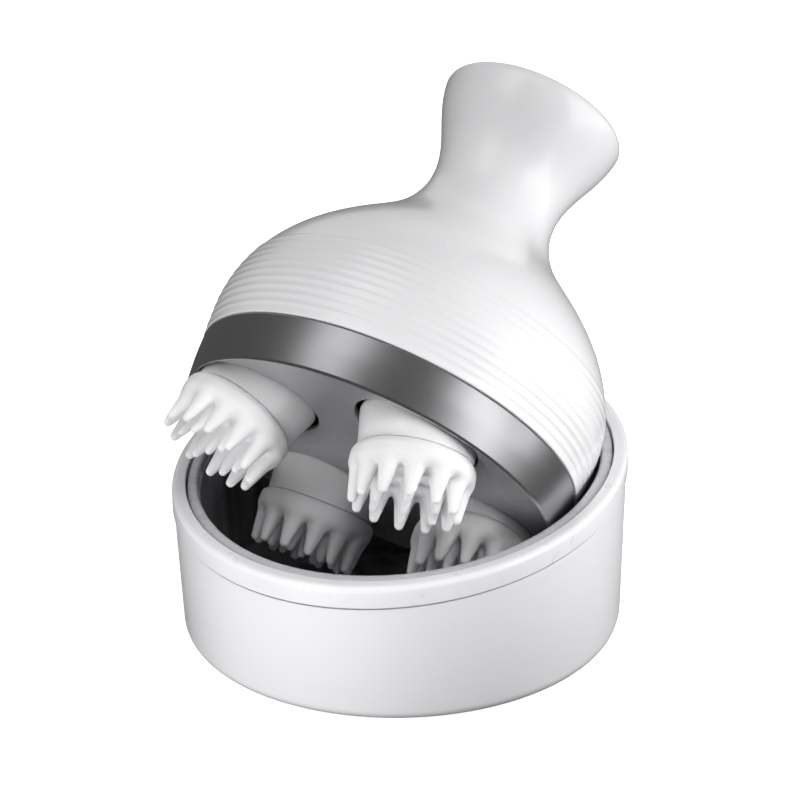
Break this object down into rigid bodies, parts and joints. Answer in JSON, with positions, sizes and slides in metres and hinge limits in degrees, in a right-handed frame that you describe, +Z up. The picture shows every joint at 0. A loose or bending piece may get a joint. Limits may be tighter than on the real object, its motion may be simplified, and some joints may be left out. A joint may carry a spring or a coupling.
{
  "type": "scalp massager with charging dock",
  "caption": "Handheld scalp massager with spinning silicone finger heads, leaning in the bowl of its round charging dock with a slanted rim.",
  "frame": {"origin": "centre of the dock's underside, on the surface it stands on", "axes": "+Z up; -Y towards the front, where the dock's rim is low and the massage heads show; +X to the right. The massager leans to the back right."},
  "size_m": [0.1208, 0.1402, 0.1396],
  "materials": {
    "white_shell": "glossy white moulded ABS, clear-coated",
    "collar_white": "smooth white moulded plastic with a soft gloss",
    "silicone_white": "matte white translucent silicone",
    "silver_satin": "fine satin silver metal",
    "plate_grey": "satin silver-grey lacquer",
    "trim_grey": "semi-gloss light grey",
    "bowl_dark": "dark grey, glossy, with a metallic sheen",
    "base_grey": "white matte plastic",
    "pad_rubber": "dark grey rubber",
    "steel": "plain machined steel",
    "copper": "enamelled copper wire",
    "brass": "turned brass",
    "board_green": "circuit board with green solder resist",
    "gear_nylon": "natural moulded acetal",
    "switch_black": "black switch body",
    "cell_wrap": "blue shrink sleeve",
    "lens_clear": "clear lens"
  },
  "bodies": {
    "dock": {"dock_shell": "white_shell", "dock_rim": "white_shell", "bowl_trim": "trim_grey", "bowl_liner": "bowl_dark", "dock_base": "base_grey", "foot_pad": "pad_rubber", "dock_screws": "steel", "transmitter_coil": "copper", "usb_socket": "steel", "dock_board": "board_green"},
    "massager": {"dome_shell": "white_shell", "silver_band": "silver_satin", "base_plate": "plate_grey", "bearing_plate": "gear_nylon", "head_bushes": "brass", "chassis_plate": "gear_nylon", "chassis_screws": "steel", "sun_axle": "steel", "motor_bracket": "gear_nylon", "motor_can": "steel", "receiver_coil": "copper", "battery_holder": "gear_nylon", "battery_cell": "cell_wrap", "control_board": "board_green", "tactile_switch": "switch_black", "handle_cap": "white_shell", "status_lens": "lens_clear"},
    "sun_train": {"sun_gear": "gear_nylon"},
    "idler_train": {"idler_gear": "gear_nylon"},
    "motor_rotor": {"motor_shaft": "steel", "motor_pinion": "brass"},
    "button": {"power_button": "silver_satin"},
    "head_drive_1": {"head_gear_1": "gear_nylon", "drive_pin_1": "steel"},
    "massage_head_1": {"head_hub_1": "collar_white", "retaining_ring_1": "steel", "brush_carrier_1": "gear_nylon", "silicone_brush_1": "silicone_white"},
    "head_drive_2": {"head_gear_2": "gear_nylon", "drive_pin_2": "steel"},
    "massage_head_2": {"head_hub_2": "collar_white", "retaining_ring_2": "steel", "brush_carrier_2": "gear_nylon", "silicone_brush_2": "silicone_white"},
    "head_drive_3": {"head_gear_3": "gear_nylon", "drive_pin_3": "steel"},
    "massage_head_3": {"head_hub_3": "collar_white", "retaining_ring_3": "steel", "brush_carrier_3": "gear_nylon", "silicone_brush_3": "silicone_white"},
    "head_drive_4": {"head_gear_4": "gear_nylon", "drive_pin_4": "steel"},
    "massage_head_4": {"head_hub_4": "collar_white", "retaining_ring_4": "steel", "brush_carrier_4": "gear_nylon", "silicone_brush_4": "silicone_white"}
  },
  "joints": [
    {"name": "lift_off", "type": "slide", "parent": "dock", "child": "massager", "axis": [0, 0, 1], "range_m": [0, 0.11]},
    {"name": "sun_spin", "type": "hinge", "parent": "massager", "child": "sun_train", "pos_m": [-0.00291, -0.00561, 0.05972], "axis": [0.4211, 0.6635, 0.6184], "continuous": true},
    {"name": "idler_spin", "type": "hinge", "parent": "massager", "child": "idler_train", "pos_m": [0.01745, -0.01383, 0.06308], "axis": [0.4211, 0.6635, 0.6184], "continuous": true},
    {"name": "motor_spin", "type": "hinge", "parent": "massager", "child": "motor_rotor", "pos_m": [0.00273, 0.00328, 0.068], "axis": [0.4211, 0.6635, 0.6184], "continuous": true},
    {"name": "button_press", "type": "slide", "parent": "massager", "child": "button", "axis": [-0.4211, -0.6635, -0.6184], "range_m": [0, 0.0008], "stiffness_N_per_m": 600, "springref_m": -0.001},
    {"name": "drive_spin_1", "type": "hinge", "parent": "massager", "child": "head_drive_1", "pos_m": [0.00588, -0.03557, 0.07392], "axis": [0.4211, 0.6635, 0.6184], "continuous": true},
    {"name": "head_spin_1", "type": "hinge", "parent": "massager", "child": "massage_head_1", "pos_m": [0.00588, -0.03557, 0.07392], "axis": [0.2067, 0.7061, 0.6773], "continuous": true},
    {"name": "drive_spin_2", "type": "hinge", "parent": "massager", "child": "head_drive_2", "pos_m": [-0.03398, -0.00997, 0.07359], "axis": [0.4211, 0.6635, 0.6184], "continuous": true},
    {"name": "head_spin_2", "type": "hinge", "parent": "massager", "child": "massage_head_2", "pos_m": [-0.03398, -0.00997, 0.07359], "axis": [0.6068, 0.6209, 0.4962], "continuous": true},
    {"name": "drive_spin_3", "type": "hinge", "parent": "massager", "child": "head_drive_3", "pos_m": [-0.01793, 0.01454, 0.03636], "axis": [0.4211, 0.6635, 0.6184], "continuous": true},
    {"name": "head_spin_3", "type": "hinge", "parent": "massager", "child": "massage_head_3", "pos_m": [-0.01793, 0.01454, 0.03636], "axis": [0.3699, 0.5099, 0.7767], "continuous": true},
    {"name": "drive_spin_4", "type": "hinge", "parent": "massager", "child": "head_drive_4", "pos_m": [0.02193, -0.01106, 0.03669], "axis": [0.4211, 0.6635, 0.6184], "continuous": true},
    {"name": "head_spin_4", "type": "hinge", "parent": "massager", "child": "massage_head_4", "pos_m": [0.02193, -0.01106, 0.03669], "axis": [0.2887, 0.811, 0.5089], "continuous": true}
  ],
  "couplings": [
    {"joint": "idler_spin", "follows": "sun_spin", "ratio": -5},
    {"joint": "motor_spin", "follows": "sun_spin", "ratio": 25},
    {"joint": "drive_spin_1", "follows": "sun_spin", "ratio": -1.4815},
    {"joint": "head_spin_1", "follows": "sun_spin", "ratio": -1.4815},
    {"joint": "drive_spin_2", "follows": "sun_spin", "ratio": -1.4815},
    {"joint": "head_spin_2", "follows": "sun_spin", "ratio": -1.4815},
    {"joint": "drive_spin_3", "follows": "sun_spin", "ratio": -1.4815},
    {"joint": "head_spin_3", "follows": "sun_spin", "ratio": -1.4815},
    {"joint": "drive_spin_4", "follows": "sun_spin", "ratio": -1.4815},
    {"joint": "head_spin_4", "follows": "sun_spin", "ratio": -1.4815}
  ]
}
